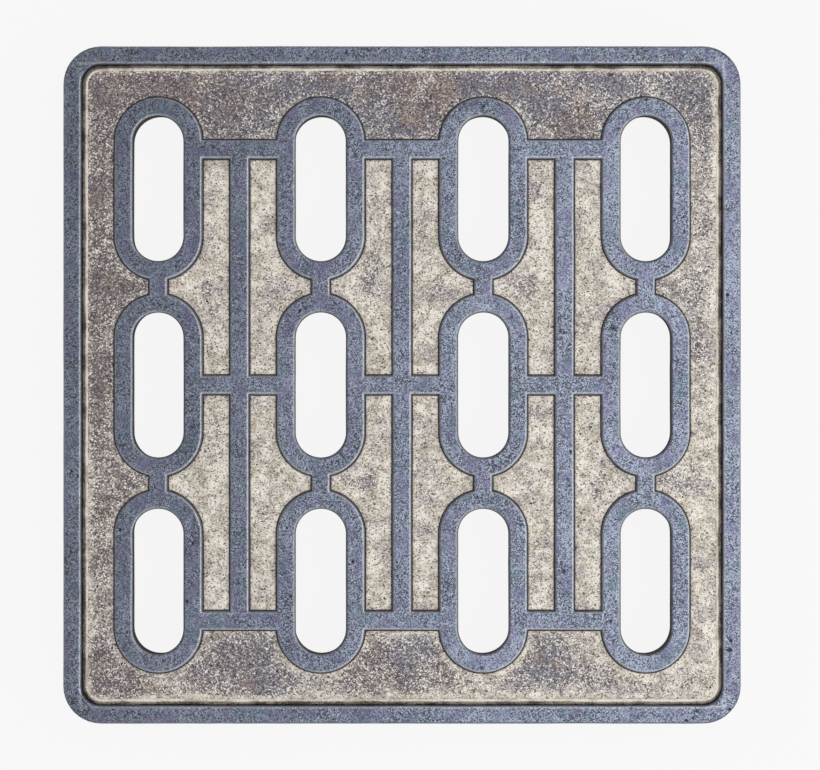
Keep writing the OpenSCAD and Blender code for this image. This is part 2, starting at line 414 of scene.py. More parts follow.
def lumps(points, size, seed):
    """Smooth random lumps from -1 to 1, about size across: random values at the corners of a cubic
    lattice, eased between them along the three directions in turn."""
    cells = 32
    lattice = np.random.default_rng(seed).uniform(-1, 1, (cells, cells, cells))
    place = points / size + cells / 2
    base = np.floor(place).astype(int)
    t = place - base
    t = t * t * (3 - 2 * t)
    total = 0
    for corner in np.ndindex(2, 2, 2):
        index = (base + corner) % cells
        weight = np.prod(np.where(corner, t, 1 - t), axis=-1)
        total = total + weight * lattice[index[..., 0], index[..., 1], index[..., 2]]
    return total


def at_height(plan, z):
    """Plan points at a height, which may differ from point to point."""
    return np.concatenate([plan, np.broadcast_to(z, plan.shape[:-1])[..., None]], axis=-1)


def ease(value, low, high):
    """0 below low, 1 above high, and an S-curve between."""
    t = np.clip((value - low) / (high - low), 0, 1)
    return t * t * (3 - 2 * t)


def within(places, outline):
    """1 for each place that lies inside an outline and 0 for the others.

    A place is inside if the sides of the outline cross the line from it to the right an odd number
    of times."""
    inside = np.zeros(len(places), int)
    near = np.flatnonzero(((places > outline.min(axis=0)) & (places < outline.max(axis=0))).all(axis=1))
    (x0, y0), (x1, y1) = outline.T, np.roll(outline, -1, axis=0).T
    rise = np.where(y0 == y1, 1, y1 - y0)
    for part in np.array_split(near, len(near) // 2000 + 1):
        x, y = places[part, :1], places[part, 1:]
        crossed = ((y0 > y) != (y1 > y)) & (x < x0 + (y - y0) / rise * (x1 - x0))
        inside[part] = crossed.sum(axis=1) % 2
    return inside


class Shell:
    """The points and faces of one mesh, gathered part by part."""

    def __init__(self):
        self.parts, self.faces, self.size = [], [], 0

    def add(self, points):
        """Adds points of shape (..., 3), and returns their numbers in the same shape."""
        numbers = self.size + np.arange(points[..., 0].size).reshape(points.shape[:-1])
        self.parts.append(points.reshape(-1, 3))
        self.size += numbers.size
        return numbers

    def points(self):
        """All the points so far, one row each."""
        return np.concatenate(self.parts)

    def strip(self, numbers, outwards):
        """Joins closed rows of points, each row to the next. outwards says that the rows grow from the
        middle as they go on, which decides the side that the faces look to."""
        a, b = numbers[:-1], numbers[1:]
        a_next, b_next = np.roll(a, -1, axis=1), np.roll(b, -1, axis=1)
        quads = (a, b, b_next, a_next) if outwards else (a, a_next, b_next, b)
        self.faces.extend(np.stack(quads, axis=-1).reshape(-1, 4).tolist())

    def cap(self, numbers, up):
        """Closes one anticlockwise row with a single face."""
        self.faces.append((numbers if up else numbers[::-1]).tolist())

    def fill(self, loops, up, spots=()):
        """Closes the area between closed rows, through the loose points spots, with a Delaunay
        triangulation of the plan. A triangle is kept where an odd number of rows goes round it."""
        numbers = np.concatenate([*loops, spots]).astype(int)
        plan = self.points()[numbers, :2]
        starts = np.cumsum([0] + [len(loop) for loop in loops])
        edges = [np.column_stack([first + np.arange(n), first + (np.arange(n) + 1) % n])
                 for first, n in zip(starts, (len(loop) for loop in loops))]
        made = delaunay_2d_cdt((plan / MM).tolist(), np.concatenate(edges).tolist(), [], 0, 1e-7)
        if len(made[0]) != len(numbers):
            raise RuntimeError("two points of an area are in the same place")
        corners = np.array(made[2])
        a, b, c = np.moveaxis(plan[corners], 1, 0)
        area = (b - a)[:, 0] * (c - a)[:, 1] - (b - a)[:, 1] * (c - a)[:, 0]
        middles = (a + b + c) / 3
        rings = sum(within(middles, plan[first:last]) for first, last in zip(starts, starts[1:]))
        kept = (rings % 2 == 1) & (np.abs(area) > 1e-11)
        corners = np.where(((area > 0) == up)[:, None], corners, corners[:, ::-1])[kept]
        self.faces.extend(numbers[corners].tolist())

    def piece(self, name, body, slot, finish, replaces=(), moved=0, **values):
        """Makes the Blender object, smooth shaded, with one number per point for each of values."""
        points = self.points() + moved
        mesh = bpy.data.meshes.new(name)
        mesh.from_pydata(points.tolist(), [], self.faces)
        mesh.shade_smooth()
        for value, numbers in values.items():
            layer = mesh.attributes.new(value, "FLOAT", "POINT")
            layer.data.foreach_set("value", np.asarray(numbers, np.float32))
        mesh.materials.append(finish)
        made = bpy.data.objects.new(name, mesh)
        bpy.context.scene.collection.objects.link(made)
        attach(made, body)
        if replaces:
            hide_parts(*replaces)
        return made


def casting_wander(points):
    """The unevenness of a sand casting: every point moves along each axis by up to 0.16 mm in lumps
    45 mm across, and by up to 0.07 mm in lumps 11 mm across."""
    slow = np.stack([lumps(points, 0.045, seed) for seed in (11, 12, 13)], axis=-1)
    quick = np.stack([lumps(points, 0.011, seed) for seed in (14, 15, 16)], axis=-1)
    return 0.16 * MM * slow + 0.07 * MM * quick


# ---------------------------------------------------------------- finishes

class Finish:
    """A material in the making: a Principled shader, and short names for the nodes that feed it."""

    def __init__(self, name):
        self.material = bpy.data.materials.new(name)
        self.material.use_nodes = True
        self.tree = self.material.node_tree
        self.tree.nodes.clear()
        self.output = self.tree.nodes.new("ShaderNodeOutputMaterial")
        self.shader = self.tree.nodes.new("ShaderNodeBsdfPrincipled")
        self.tree.links.new(self.shader.outputs["BSDF"], self.output.inputs["Surface"])
        self.place = self.tree.nodes.new("ShaderNodeTexCoord").outputs["Object"]

    def feed(self, socket, value):
        """Links socket to another socket, or sets it to a plain value or colour."""
        if isinstance(value, bpy.types.NodeSocket):
            self.tree.links.new(value, socket)
        elif hasattr(value, "__len__") and len(socket.default_value) == 4:
            socket.default_value = (*value, 1)
        else:
            socket.default_value = value

    def set(self, **inputs):
        """Feeds the shader's sockets, named in lower case with underscores for spaces."""
        for name, value in inputs.items():
            self.feed(self.shader.inputs[name.replace("_", " ").title()], value)

    def noise(self, size, detail=2.0, rough=0.5, shift=0.0):
        """Cloudy noise from 0 to 1 whose features are about size across."""
        node = self.tree.nodes.new("ShaderNodeTexNoise")
        node.inputs["Scale"].default_value = 1 / size
        node.inputs["Detail"].default_value = detail
        node.inputs["Roughness"].default_value = rough
        self.feed(node.inputs["Vector"], self.moved(shift) if shift else self.place)
        return node.outputs["Fac"]

    def moved(self, shift):
        """The place moved along all three directions, so that two patterns don't line up."""
        node = self.tree.nodes.new("ShaderNodeMapping")
        self.feed(node.inputs["Vector"], self.place)
        node.inputs["Location"].default_value = (shift, shift * 0.7, shift * 0.4)
        return node.outputs["Vector"]

    def cells(self, size, shift=0.0):
        """Cells round scattered points, which are about size apart: the distance from a cell's point in
        cell sizes, and a random number from 0 to 1 for each cell."""
        node = self.tree.nodes.new("ShaderNodeTexVoronoi")
        node.inputs["Scale"].default_value = 1 / size
        self.feed(node.inputs["Vector"], self.moved(shift) if shift else self.place)
        split = self.tree.nodes.new("ShaderNodeSeparateColor")
        self.feed(split.inputs[0], node.outputs["Color"])
        return node.outputs["Distance"], split.outputs[0]

    def step(self, value, low, high, start=0.0, end=1.0):
        """An S-curve from start at low to end at high."""
        node = self.tree.nodes.new("ShaderNodeMapRange")
        node.interpolation_type = "SMOOTHSTEP"
        sockets = {"Value": value, "From Min": low, "From Max": high, "To Min": start, "To Max": end}
        for name, fed in sockets.items():
            self.feed(node.inputs[name], fed)
        return node.outputs["Result"]

    def sum(self, *terms):
        """The sum of several values or sockets."""
        total = terms[0]
        for term in terms[1:]:
            total = self.maths("ADD", total, term)
        return total

    def times(self, *terms):
        """The product of several values or sockets."""
        total = terms[0]
        for term in terms[1:]:
            total = self.maths("MULTIPLY", total, term)
        return total

    def spread(self, value, gain):
        """A value from 0 to 1 as plus or minus a share of gain."""
        return self.times(self.sum(value, -0.5), gain)

    def rest(self, share):
        """What a share leaves of 1."""
        return self.maths("SUBTRACT", 1.0, share)

    def spots(self, apart, shift, radius, rare):
        """Round spots, about as far apart as the first number says, as a mask. radius is in the same
        unit as cell sizes, and the spots come in groups, which are fewer as rare goes from 0 to 1."""
        away = self.cells(apart, shift)[0]
        grouped = self.step(self.noise(2.6 * apart, 2, 0.6, shift + 0.4), rare, rare + 0.14)
        return self.times(self.step(away, 0.5 * radius, 1.6 * radius, 1.0, 0.0), grouped)

    def maths(self, operation, a, b=0.0):
        node = self.tree.nodes.new("ShaderNodeMath")
        node.operation = operation
        self.feed(node.inputs[0], a)
        self.feed(node.inputs[1], b)
        return node.outputs[0]

    def mix(self, a, b, amount):
        """Colour a, going over to b as amount goes from 0 to 1."""
        node = self.tree.nodes.new("ShaderNodeMix")
        node.data_type = "RGBA"
        self.feed(node.inputs[0], amount)
        self.feed(node.inputs[6], a)
        self.feed(node.inputs[7], b)
        return node.outputs[2]

    def stain(self, colour, over, size, shift, low, high, most, detail=2):
        """A colour with patches of colour over, about size across. They begin where cloudy noise passes
        low, and where it reaches high they cover as much as most says, from 0 to 1."""
        return self.mix(colour, over, self.step(self.noise(size, detail, 0.6, shift), low, high, 0, most))

    def value(self, name):
        """The number that each point of the mesh carries under this name."""
        node = self.tree.nodes.new("ShaderNodeAttribute")
        node.attribute_name = name
        return node.outputs["Fac"]

    def bump(self, height, distance, strength=1.0):
        """Bends the surface's normal as if height, from 0 to 1, raised it by distance."""
        node = self.tree.nodes.new("ShaderNodeBump")
        node.inputs["Strength"].default_value = strength
        node.inputs["Distance"].default_value = distance
        self.feed(node.inputs["Height"], height)
        self.feed(self.shader.inputs["Normal"], node.outputs["Normal"])


def iron_layers(f, c):
    """Colour, roughness and height of bare cast iron: a blue-grey skin with violet and green casts, a
    fine light and dark grain, and scattered pits."""
    grain = f.cells(0.0007, 0.2)[1]
    pebble = f.noise(0.0030, 2, 0.6, 3.7)
    blotch = f.noise(0.0110, 3, 0.5, 0.31)
    broad = f.noise(0.075, 2, 0.5, 0.57)
    tone = f.sum(
        f.spread(grain, 1.6), f.spread(pebble, 0.5), f.spread(blotch, 0.7), f.spread(broad, 0.9), 0.5)
    colour = f.mix(c.iron_dark, c.iron_light, f.step(tone, -0.1, 1.1))
    colour = f.stain(colour, c.iron_violet, 0.016, 1.3, 0.48, 0.66, 0.5)
    colour = f.stain(colour, c.iron_green, 0.013, 2.1, 0.52, 0.68, 0.4)
    pits = f.spots(0.0120, 0.83, 0.09, 0.42)
    specks = f.spots(0.0070, 2.9, 0.07, 0.50)
    sparks = f.spots(0.0050, 7.7, 0.08, 0.46)
    colour = f.mix(colour, c.iron_worn_and_highlight, f.times(sparks, 0.75))
    blowholes = f.spots(0.040, 5.5, 0.04, 0.36)
    holes = f.maths("MAXIMUM", f.maths("MAXIMUM", pits, blowholes), f.times(specks, 0.8))
    colour = f.mix(colour, c.pit, holes)
    height = f.sum(f.times(pebble, 1.0), f.times(blotch, 0.3), f.times(holes, -1.2))
    return colour, f.step(tone, -0.2, 1.2, 0.50, 0.36), height


def cover_finish(c):
    """Worn tread over a field of caked sand. The points say how much sand lies there (dust), where an
    edge is polished and carries a painted highlight on the side towards the key light (wear),
    where soil lies at the tread's foot, on the slot walls and at the cover's edge, with painted shade in the
    groove and on the slot walls (soil), where the field begins (low), and how blue the field's bare iron is
    (cool)."""
    f = Finish("cover_iron_and_sand")
    iron, iron_rough, iron_height = iron_layers(f, c)
    dust, wear, soil, low = f.value("dust"), f.value("wear"), f.value("soil"), f.value("low")

    grain = f.cells(0.00085, 4.1)[1]
    crumb = f.noise(0.0017, 2, 0.7, 5.1)
    clump = f.noise(0.0060, 3, 0.55, 6.3)
    patch = f.noise(0.032, 3, 0.6, 7.9)
    amount = f.sum(
        dust, f.spread(patch, 1.0), f.spread(clump, 0.6), f.spread(crumb, 0.4), f.spread(grain, 0.25))
    sanded = f.step(amount, 0.05, 0.85)
    cool = f.times(f.value("cool"), f.step(f.noise(0.055, 3, 0.55, 4.9), 0.36, 0.54))
    skin = f.mix(c.field_skin, c.field_blue, cool)
    skin = f.stain(skin, c.rust, 0.018, 8.4, 0.50, 0.70, 0.6, detail=3)
    skin = f.stain(skin, c.iron_dark, 0.011, 3.3, 0.50, 0.70, 0.25)
    skin = f.mix(skin, c.quartz, f.step(f.spread(grain, 1.0), 0.0, 0.5, 0.0, 0.22))
    dryness = f.sum(f.spread(clump, 0.6), f.noise(0.014, 2, 0.6, 9.2))
    sand = f.mix(c.sand_dark, c.sand_light, f.step(dryness, 0.30, 0.64))
    sand = f.stain(sand, c.sand_olive, 0.012, 2.6, 0.5, 0.7, 0.5)
    sand = f.stain(sand, c.sand_mauve, 0.016, 5.2, 0.50, 0.68, 0.75, detail=3)
    sand = f.mix(sand, c.soil, f.step(crumb, 0.30, 0.45, 0.55, 0.0))
    dirt = f.mix(skin, sand, sanded)
    sprinkled = f.step(amount, 0.0, 0.50, 0.10, 1.0)
    dirt = f.mix(dirt, c.soil, f.times(f.step(grain, 0.0, 0.32, 1.0, 0.0), 0.8))
    glints = f.times(f.step(grain, 0.70, 0.94), sprinkled, f.step(sanded, 0, 1, 1.0, 0.6))
    dirt = f.mix(dirt, c.quartz, glints)
    pale = f.spots(0.0045, 1.2, 0.13, 0.46)
    dark = f.spots(0.0085, 6.1, 0.10, 0.44)
    dirt = f.mix(dirt, c.quartz, pale)
    dirt = f.mix(dirt, c.pit, f.times(dark, 0.85))

    # Worn edges lightened: real wear, with a painted highlight where the edges face the key light.
    colour = f.mix(iron, c.iron_worn_and_highlight, f.times(wear, f.step(grain, 0, 1, 0.5, 1.0)))
    colour = f.mix(colour, dirt, low)
    # Soil at the cover's edge; in the groove at the tread's foot and on the slot walls this is painted shade
    # as well as soil.
    colour = f.mix(colour, c.soil, soil)
    bare = f.times(f.rest(low), f.rest(soil))
    f.set(base_color=colour, metallic=f.times(bare, f.rest(f.times(wear, 0.7)), 0.75),
          roughness=f.sum(f.times(iron_rough, bare), f.times(f.rest(bare), 0.92)))
    crumbs = f.sum(f.times(crumb, 1.1), f.times(clump, 0.6), f.times(pale, 0.7), f.times(dark, -1.2))
    f.bump(f.sum(f.times(iron_height, bare), f.times(crumbs, low)), 0.00035, 0.8)
    return f.material


def plain_iron_finish(name, c):
    """Cast iron away from feet: the same skin, a little rust, and soil in patches low down."""
    f = Finish(name)
    iron, rough, height = iron_layers(f, c)
    wear, soil = f.value("wear"), f.value("soil")
    rusty = f.step(f.sum(f.noise(0.02, 4, 0.65, 5.9), f.times(soil, 0.3)), 0.66, 0.85, 0, 0.7)
    colour = f.mix(iron, c.rust, rusty)
    colour = f.mix(colour, c.iron_worn_and_highlight, f.times(wear, 0.6))
    dusty = f.times(soil, f.step(f.noise(0.006, 3, 0.7, 2.2), 0.42, 0.62, 0.15, 0.9))
    colour = f.mix(colour, c.soil, dusty)
    f.set(
        base_color=colour,
        metallic=f.times(f.rest(rusty), f.rest(dusty), 0.75),
        roughness=f.sum(rough, f.times(rusty, 0.25), f.times(dusty, 0.3)),
    )
    f.bump(height, 0.0004, 0.8)
    return f.material


def joint_finish(c):
    """Soil packed into the joint, with sand on top. The part that goes down into the gap (deep) is darker:
    soil, and painted shade where it lies low.
    """
    f = Finish("joint_soil")
    mixed = f.sum(f.noise(0.0016, 3, 0.75, 1.1), f.spread(f.noise(0.012, 2, 0.5, 4.4), 0.9))
    # The deep part is darker: soil, and painted shade where the crust lies low in the gap.
    deep = f.mix(c.soil, c.sand_dark, f.step(mixed, 0.36, 0.66, 0.14, 0.80))
    colour = f.mix(f.mix(c.sand_dark, c.sand_light, f.step(mixed, 0.30, 0.60)), deep, f.value("deep"))
    f.set(base_color=colour, roughness=0.95)
    f.bump(mixed, 0.0006, 0.9)
    return f.material


def grit_finish(c):
    """Loose grains: each carries its own shade, from dark stone to pale quartz."""
    f = Finish("grit")
    shade = f.value("shade")
    colour = f.mix(c.soil, c.sand_dark, f.step(shade, 0.0, 0.3))
    colour = f.mix(colour, c.sand_light, f.step(shade, 0.3, 0.8))
    f.set(base_color=colour, roughness=0.8)
    f.bump(f.noise(0.0006, 2, 0.6), 0.0001, 0.6)
    return f.material


def rubber_finish(c):
    """Matt black rubber with a fine moulded grain and a little dust."""
    f = Finish("seat_rubber")
    grain = f.noise(0.0009, 2, 0.7)
    dusty = f.step(f.noise(0.007, 3, 0.6, 1.7), 0.5, 0.75, 0, 0.35)
    f.set(base_color=f.mix(c.rubber, c.soil, dusty), roughness=0.72)
    f.bump(grain, 0.00012, 0.5)
    return f.material


def floor_finish(c, s):
    """Pale floor: an even tone for the camera and in reflections, and a share that takes shadows."""
    f = Finish("floor")
    tree = f.tree
    glow = tree.nodes.new("ShaderNodeEmission")
    glow.inputs["Color"].default_value = (*[s.backdrop] * 3, 1)
    glow.inputs["Strength"].default_value = 1
    seen = tree.nodes.new("ShaderNodeLightPath").outputs
    rays = f.maths("MAXIMUM", seen["Is Camera Ray"], seen["Is Glossy Ray"])
    rays = f.maths("MAXIMUM", rays, seen["Is Transmission Ray"])
    both = tree.nodes.new("ShaderNodeMixShader")
    f.set(base_color=c.floor, roughness=0.9)
    f.feed(both.inputs[0], f.times(rays, 1 - s.shadow))
    f.feed(both.inputs[1], f.shader.outputs["BSDF"])
    f.feed(both.inputs[2], glow.outputs["Emission"])
    f.feed(f.output.inputs["Surface"], both.outputs["Shader"])
    return f.material


# ---------------------------------------------------------------- the cover

def dust_at(plan, tread):
    """How much sand lies at a place on the field, from 0 to 1.

    The pockets between the bars hold most, more in the lower rows. Outside the tread there is little
    at the left and the top, and more to the right and the bottom. Everywhere it banks up against
    the tread and towards the joint."""
    x, y = plan[..., 0], plan[..., 1]
    growth = tread.growth(plan)
    edge = inside_square(plan, COVER_HALF, COVER_HALF - COVER_CORNER)
    flat = at_height(plan, 0)
    outer = (np.abs(y) > tread.cross) | (np.abs(x) > COLUMNS[-1])
    pocket = 0.74 + 0.08 * ease(-y, -0.06, 0.06) - 0.32 * ease(growth, 0.009, 0.019)
    right, low = ease(x, -0.20, 0.22), ease(-y, -0.12, 0.20)
    shores = np.exp(-growth / 0.010) + np.exp(-edge / 0.012)
    side = 0.32 * ease(x, 0.17, 0.23) * ease(-y, -0.215, -0.16)
    field = low * 0.15 * right + shores * (0.10 + low * (0.27 + 0.27 * right)) + side - 0.02
    bank = np.where(outer, 0.50, 0.25) * np.exp(-growth / 0.0030)
    patchy = 0.35 + 0.5 * ease(lumps(flat, 0.018, 23) + 0.8 * (x - y) / COVER_HALF, -0.5, 0.7)
    bank = bank + patchy * np.exp(-np.maximum(edge - 0.0012, 0) / 0.0020)
    amount = np.where(outer, field, pocket) + bank
    amount = amount + 0.16 * lumps(flat, 0.034, 21) + 0.08 * lumps(flat, 0.012, 22)
    return np.clip(amount, 0.02, 1)


def field_height(plan, tread, s, d):
    """Height of the dirt on the field: the iron, a cake as thick as its share of sand, and small lumps."""
    flat = at_height(plan, 0)
    uneven = 0.11 * lumps(flat, 0.0048, 31) + 0.09 * lumps(flat, 0.017, 32)
    return ROAD - s.tread_h + d.cake_t * (0.2 + 0.8 * dust_at(plan, tread)) + MM * uneven


def facing_key_light(distance, plan):
    """How much the outwards direction of a distance looks to the right and the front, towards the key light,
    from 0 to 1: half of 1 and the product of its slope with the direction (0.8, -0.6). It sets where the worn
    edges carry a painted highlight."""
    h = 1e-5
    across = distance(plan + (h, 0)) - distance(plan - (h, 0))
    along = distance(plan + (0, h)) - distance(plan - (0, h))
    return np.clip(0.5 + 0.5 * (0.8 * across - 0.6 * along) / (2 * h), 0, 1)


def grid_spots(half, step):
    """Points of a triangular grid over a square."""
    n = int(half / step)
    i, j = np.meshgrid(np.arange(-n, n + 1), np.arange(-int(n * 1.2), int(n * 1.2) + 1), indexing="ij")
    plan = np.stack([(i + 0.5 * (j % 2)) * step, j * step * math.sin(math.pi / 3)], axis=-1).reshape(-1, 2)
    return plan[np.abs(plan).max(axis=1) < half]


def make_cover_casting(s, d, c):
    """The cover's casting as one closed skin.

    Walls are paths of (growth, height) carried round the outlines: the tread's edge down into the
    groove at its foot and out over the sand, each slot's worn mouth down its wall and round its
    collar, and the cover's edge down its skirt and up inside it. Flat parts are triangulated
    between them, and the field follows field_height."""
    tread = Tread(s)
    shell = Shell()
    field_z, plate_z = ROAD - s.tread_h, ROAD - s.tread_h - s.plate_t
    lean = math.tan(s.tread_draft)
    margin = 0.0022
    foot = s.tread_h * lean
    wall = rounded([
        (-margin, ROAD, 0), (-0.0014, ROAD, 0), (0, ROAD, s.edge_round), (foot, field_z, 0),
        (foot + d.groove_w, field_z, 0), (foot + d.groove_w + 0.0004, field_z + d.cake_t * 0.9, 0),
        (foot + d.groove_w + 0.0016, field_z + d.cake_t, 0)])
    on_sand = ease(wall[:, 0], foot + d.groove_w, foot + d.groove_w + 0.0006)
    last = wall[-1, 0]

    def tread_rows(outline):
        """Rows of one outline down the tread's wall; the last ones lie on the sand."""
        rows = np.stack([at_height(outline(g), z) for g, z in wall])
        sand = field_height(rows[..., :2], tread, s, d)
        rows[..., 2] += on_sand[:, None] * (sand - wall[:, 1][:, None])
        return shell.add(rows)

    pockets = [tread_rows(lambda g, n=n: tread.pockets(g)[n]) for n in range(len(tread.pockets(0)))]
    outside = tread_rows(tread.outside)
    for rows in pockets:
        shell.strip(rows, outwards=False)
    shell.strip(outside, outwards=True)

    collar_z = plate_z - s.collar_h
    mouth = rounded([
        (margin, ROAD, 0), (0.0015, ROAD, 0.0005), (0.0006, ROAD - s.edge_round, 0.0005),
        (0, ROAD - 3 * s.edge_round, 0),
        ((ROAD - collar_z) * math.tan(s.slot_draft), collar_z, 0.001), (s.collar_t, collar_z, 0.0012),
        (s.collar_t, plate_z, 0.002), (s.collar_t + 0.003, plate_z, 0)], 2)
    slots = []
    for n in range(len(SLOT_MIDDLES)):
        rows = shell.add(np.stack([at_height(tread.slots(g)[n], z) for g, z in mouth]))
        shell.strip(rows, outwards=False)
        slots.append(rows)

    middle = COVER_HALF - s.corner_r
    slant = math.tan(s.edge_draft)
    foot_half = COVER_HALF - (field_z - SKIRT_FOOT) * slant
    in_half = foot_half - s.skirt_t
    top_half = in_half - (plate_z - SKIRT_FOOT) * slant
    edge = rounded([
        (COVER_HALF - margin, field_z, 0), (COVER_HALF, field_z, 0.0010), (foot_half, SKIRT_FOOT, 0.0015),
        (in_half, SKIRT_FOOT, 0.0015), (top_half, plate_z, 0.004), (top_half - 0.005, plate_z, 0)], 2)
    sides = count(2 * middle, s.step)
    middles = np.clip(edge[:, 0] - (foot_half - middle), middle - s.skirt_t, middle)
    rows = np.stack([at_height(round_square(h, h - m, sides), z) for (h, z), m in zip(edge, middles)])
    rows[0, :, 2] = field_height(rows[0, :, :2], tread, s, d)
    skirt = shell.add(rows)
    shell.strip(skirt, outwards=True)

    spots = grid_spots(COVER_HALF, s.step)
    growth, from_slot = tread.growth(spots), tread.from_slot(spots)
    inset = inside_square(spots, COVER_HALF, middle)
    clear = 0.55 * s.step
    on_field = (growth > last + clear) & (inset > margin + clear)
    on_tread = (growth < -margin - clear) & (from_slot > margin + clear)
    field, top = spots[on_field], spots[on_tread]
    field = shell.add(at_height(field, field_height(field, tread, s, d)))
    top = shell.add(at_height(top, ROAD))

    walls = [rows[k] for rows in [*pockets, outside] for k in (0, -1)]
    loops = [rows[0] for rows in slots] + walls + [skirt[0]]
    shell.fill(loops, up=True, spots=np.concatenate([field, top]))
    shell.fill([rows[-1] for rows in slots] + [skirt[-1]], up=False)

    points = shell.points()
    plan, z = points[:, :2], points[:, 2]
    growth, from_slot = tread.growth(plan), tread.from_slot(plan)
    inset = inside_square(plan, COVER_HALF, middle)
    above = z > field_z - 0.0005
    low = ease(growth, foot - 0.0002, foot + 0.0003) * above
    # Soil in the groove at the tread's foot and low on its wall, which also stands in for the shade there:
    # painted shade.
    soil = ease(growth, foot - 0.0004, foot) * ease(growth, foot + d.groove_w + 0.0004, foot + d.groove_w)
    rim = ease(inset, 0.0011, 0.0004) * (z > plate_z)
    # Soil and painted shade on the slot walls below the worn mouth.
    hole = ease(z, ROAD - 0.0008, ROAD - 0.0011) * (from_slot < 0.003)
    # Worn edges with a painted highlight: the tread's edges are lighter where they face the key light, the
    # slot mouths where their rounding faces it.
    tread_wear = np.exp(-((growth + 0.0004) / 0.0005) ** 2) * (0.15 + 0.85 * facing_key_light(tread.growth, plan))
    mouth_wear = np.exp(-((from_slot - 0.0010) / 0.0006) ** 2) * (1.1 - facing_key_light(tread.from_slot, plan))
    wear = np.clip(tread_wear + mouth_wear, 0, 1)
    uneven = 0.10 * lumps(points, 0.0065, 41) + 0.12 * lumps(points, 0.021, 42)
    moved = casting_wander(points)
    moved[:, 2] += MM * uneven * (growth < 0) * (z > ROAD - 0.0005)
    return shell.piece(
        "cover_casting", "cover", "cover_iron", cover_finish(c), ["cover"], moved,
        dust=dust_at(plan, tread), wear=wear * (z > ROAD - 0.0012),
        soil=np.clip(soil * above + rim + hole, 0, 1), low=np.clip(low + rim + hole, 0, 1),
        cool=ease(plan[:, 0], -0.20, -0.06))


def make_cover_ribs(s):
    """The fish-bellied ribs under the plate.

    Each is a section carried along a straight line: a free edge with round corners, sides that lean
    out to the root, and a fillet that runs into the plate. The free edge follows a circular arc
    that is lowest at mid span."""
    shell = Shell()
    plate_z = ROAD - s.tread_h - s.plate_t
    slant = math.tan(s.edge_draft)
    foot_half = COVER_HALF - (ROAD - s.tread_h - SKIRT_FOOT) * slant
    span = foot_half - s.skirt_t / 2
    root_z = plate_z + MM
    lowest = SKIRT_FOOT + s.rib_end_h - s.long_belly
    stations = np.linspace(-span, span, 61)

    def rib(at, belly, turn):
        radius = (span ** 2 + belly ** 2) / (2 * belly)
        free = SKIRT_FOOT + s.rib_end_h - belly + radius - np.sqrt(radius ** 2 - stations ** 2)
        rows = []
        for along, z in zip(stations, free):
            edge = (s.rib_edge + (s.rib_root - s.rib_edge) * (z - lowest) / (root_z - lowest)) / 2
            side = [(edge, z, 0.0016), (s.rib_root / 2, plate_z, s.rib_fillet),
                    (s.rib_root / 2 + 0.0045, plate_z, 0)]
            path = rounded([(-u, v, r) for u, v, r in side[::-1]] + side)
            path = np.concatenate([path, [[path[-1, 0], root_z + MM], [path[0, 0], root_z + MM]]])
            rows.append(np.column_stack([at + path[:, 0], np.full(len(path), along), path[:, 1]]))
        rows = np.array(rows)
        if turn:
            rows = np.stack([rows[..., 1], -rows[..., 0], rows[..., 2]], axis=-1)
        numbers = shell.add(rows)
        shell.strip(numbers, outwards=True)
        shell.faces.append(numbers[0].tolist())
        shell.faces.append(numbers[-1][::-1].tolist())

    for x in BARS:
        rib(x, s.long_belly, turn=False)
    for y in NECK_ROWS:
        rib(y, s.cross_belly, turn=True)
    points = shell.points()
    return shell.piece(
        "cover_ribs", "cover", "cover_iron", bpy.data.materials["casting_underside"], ["cover"],
        casting_wander(points), wear=0 * points[:, 0], soil=0.35 + 0 * points[:, 0])


def make_joint_crust(s, d, c):
    """Soil packed against the cover's edge: a lumpy section carried round the cover, which leaves a
    black gap to the frame."""
    shell = Shell()
    middle = COVER_HALF - s.corner_r
    field_z = ROAD - s.tread_h
    reach = COVER_HALF + d.crust_reach
    sides = count(2 * middle, 0.7 * s.step)
    path = np.array([
        (COVER_HALF - 0.0012, field_z - 0.0012), (COVER_HALF - 0.0006, field_z + 0.0002),
        (COVER_HALF + 0.0003, field_z + 0.0001), (COVER_HALF + 0.0011, field_z - 0.0001),
        (COVER_HALF + 0.0018, field_z - 0.0008), (reach - 0.0004, field_z - 0.0016),
        (reach, field_z - 0.0023),
        (reach - 0.0002, field_z - 0.0040), (reach - 0.0008, field_z - 0.0055),
        (COVER_HALF - 0.0012, field_z - 0.0075)])
    rows = np.stack([at_height(round_square(h, h - middle, sides), z) for h, z in path])
    numbers = shell.add(rows)
    shell.strip(np.concatenate([numbers, numbers[:1]]), outwards=True)
    points = shell.points()
    out = np.sign(points[:, :2]) * (np.abs(points[:, :2]) > middle)
    out = out / np.maximum(np.linalg.norm(out, axis=1, keepdims=True), 1)
    free = (np.maximum.reduce(np.abs(points[:, :2]), axis=1) > COVER_HALF - 0.0012)[:, None]
    ragged = 0.22 * lumps(points, 0.004, 51) + 0.12 * lumps(points, 0.02, 52)
    moved = at_height(out * ragged[:, None] * MM * free, 0)
    moved[:, 2] += (0.35 * lumps(points, 0.0035, 53) + 0.25 * lumps(points, 0.014, 54)) * MM
    across = np.repeat(path[:, 0], rows.shape[1]) + 0.7 * MM * lumps(points, 0.012, 55)
    # deep marks the outer part of the crust, which slopes down into the gap and carries painted shade.
    return shell.piece("joint_crust", "cover", "cover_iron", joint_finish(c), ["cover"], moved,
                       deep=ease(across, COVER_HALF + 0.0005, COVER_HALF + 0.0015))


